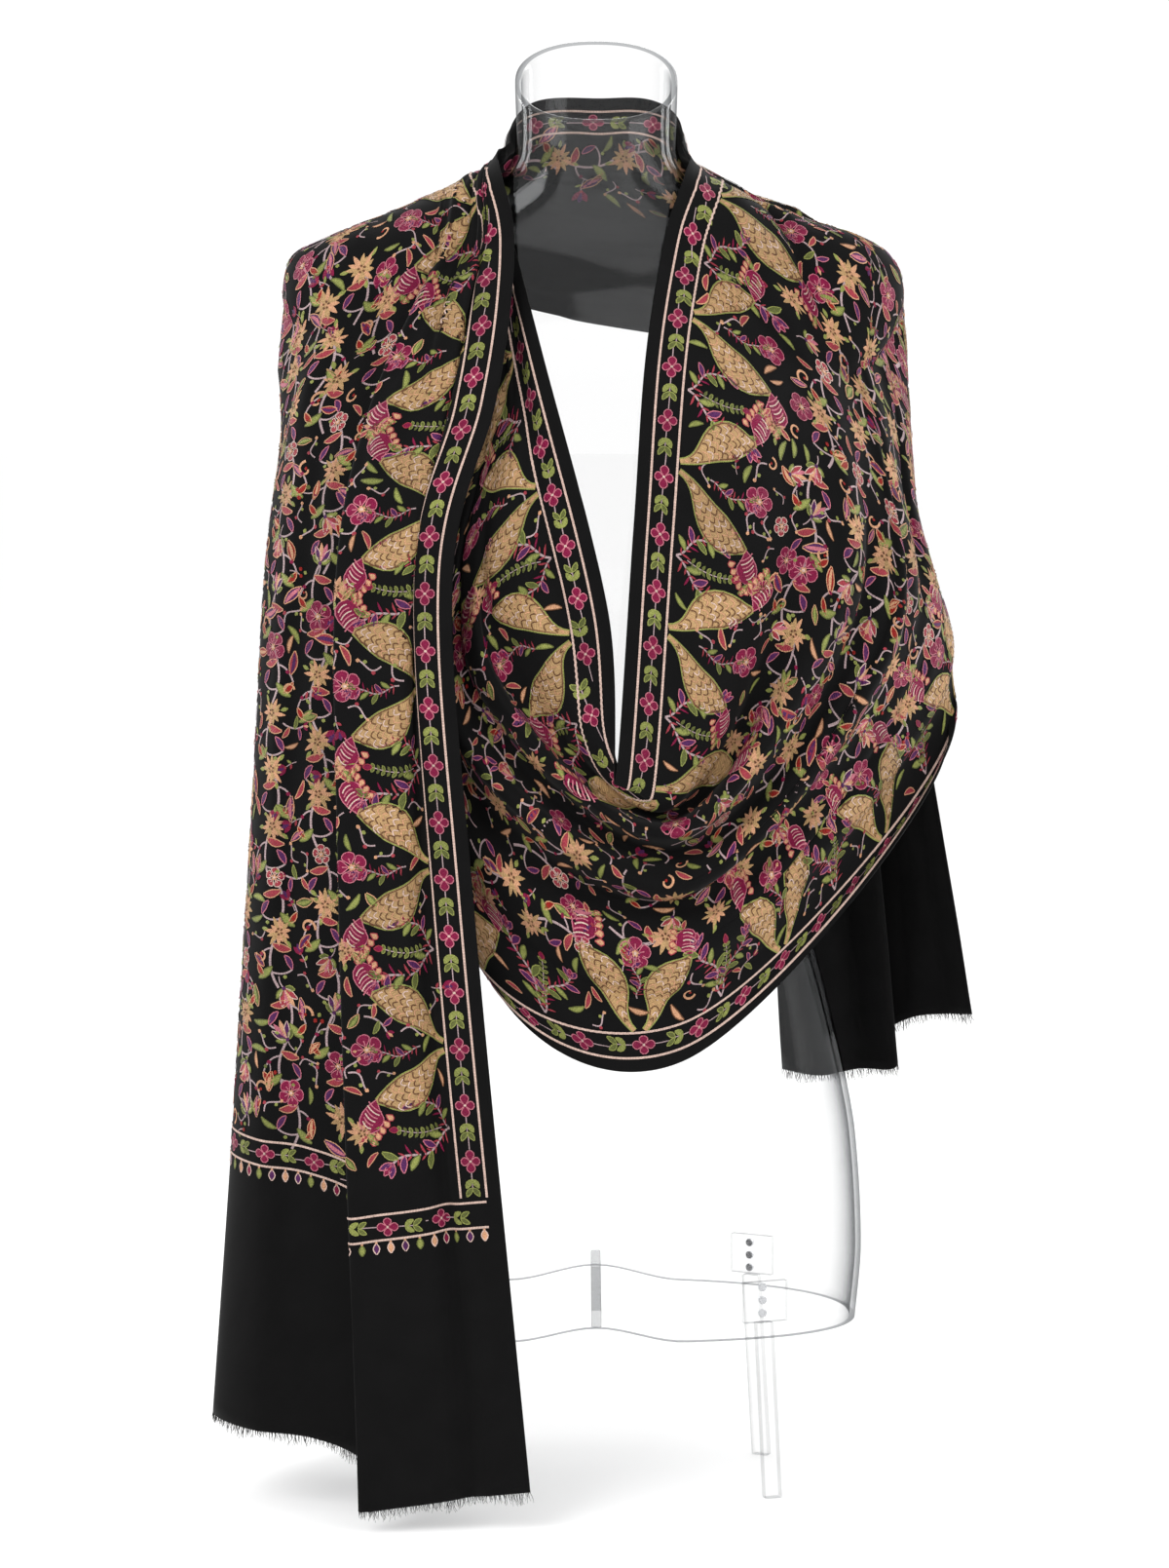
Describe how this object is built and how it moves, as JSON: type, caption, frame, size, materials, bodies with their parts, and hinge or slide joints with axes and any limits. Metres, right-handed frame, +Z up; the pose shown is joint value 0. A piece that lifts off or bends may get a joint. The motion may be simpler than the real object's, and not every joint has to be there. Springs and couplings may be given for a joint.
{
  "type": "embroidered pashmina shawl on a clear limbless dress form",
  "caption": "Long fine wool shawl draped over both shoulders in a deep cowl, with one end hanging in front and one behind, on a clear standing torso form.",
  "frame": {"origin": "centre of the whole object's box, on the floor under the form", "axes": "+Z up, +X to the right of someone facing the form's front, which faces -Y"},
  "size_m": [0.5314, 0.2714, 0.9974],
  "materials": {
    "shawl_cloth": "fine matt wool twill",
    "shawl_fringe": "loose frayed wool threads",
    "clear_acrylic": "polished clear acrylic",
    "steel": "satin"
  },
  "bodies": {
    "root": {"back_fall": "shawl_cloth", "back_fringe": "shawl_fringe", "block_back_left": "clear_acrylic", "block_back_right": "clear_acrylic", "block_front_left": "clear_acrylic", "block_front_right": "clear_acrylic", "cowl": "shawl_cloth", "fall": "shawl_cloth", "fall_fringe": "shawl_fringe", "form_shell": "clear_acrylic", "form_web": "clear_acrylic", "leg_back_left": "clear_acrylic", "leg_back_right": "clear_acrylic", "leg_front_left": "clear_acrylic", "leg_front_right": "clear_acrylic", "screw_back_left_1": "steel", "screw_back_left_2": "steel", "screw_back_left_3": "steel", "screw_back_right_1": "steel", "screw_back_right_2": "steel", "screw_back_right_3": "steel", "screw_front_left_1": "steel", "screw_front_left_2": "steel", "screw_front_left_3": "steel", "screw_front_right_1": "steel", "screw_front_right_2": "steel", "screw_front_right_3": "steel", "wrap": "shawl_cloth"}
  },
  "joints": []
}
